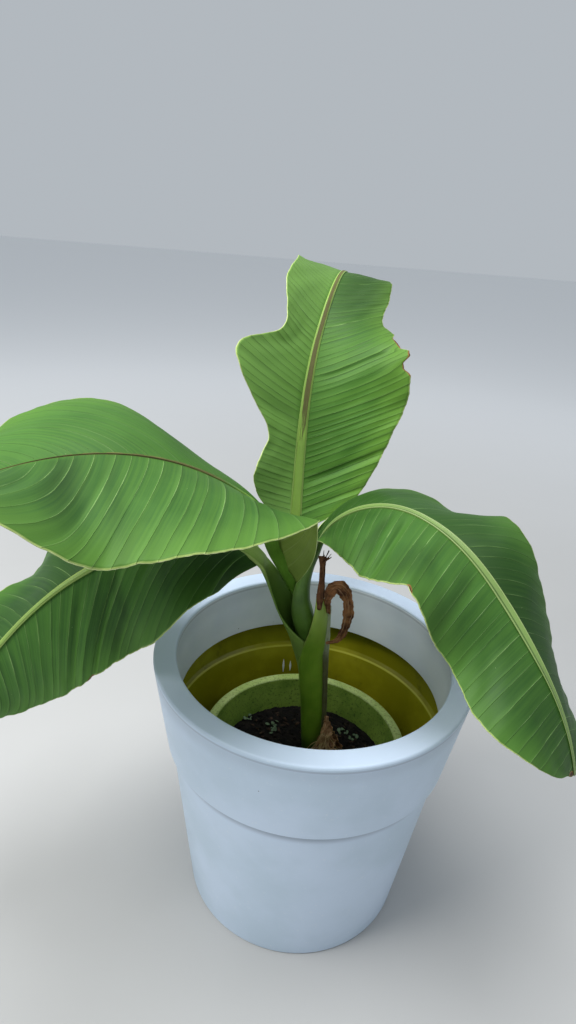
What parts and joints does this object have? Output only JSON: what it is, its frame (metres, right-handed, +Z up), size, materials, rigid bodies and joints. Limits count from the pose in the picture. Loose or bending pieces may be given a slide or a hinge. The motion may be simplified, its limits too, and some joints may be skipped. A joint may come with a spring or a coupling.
{
  "type": "potted banana plant",
  "caption": "Young banana plant with broad arching leaves on a leaning stem, in a nursery pot that stands inside a taller round tapered planter.",
  "frame": {"origin": "centre of the planter's flat underside", "axes": "+Z up along the planter's axis, -Y towards the viewer of the picture, +X to the viewer's right"},
  "size_m": [0.818, 0.7723, 0.9174],
  "materials": {
    "planter": "satin pale blue-grey outside, glossy olive inside",
    "inner pot": "matte lime green, mossy rim",
    "soil": "damp, crumbly",
    "green stalk": "satin, waxy",
    "green leaf": "satin, with parallel veins",
    "old sheath": "dull, pale",
    "dry leaf": "dry, papery brown"
  },
  "bodies": {
    "root": {"planter": "planter", "inner_pot": "inner pot", "soil": "soil", "stem": "green stalk", "stalk_back": "green stalk", "leaf_back": "green leaf", "stalk_right": "green stalk", "leaf_right": "green leaf", "stalk_left": "green stalk", "leaf_left": "green leaf", "stalk_lower": "green stalk", "leaf_lower": "green leaf", "old_sheath": "old sheath", "dead_stalk": "dry leaf", "dead_leaf": "dry leaf", "base_husk": "dry leaf"}
  },
  "joints": []
}
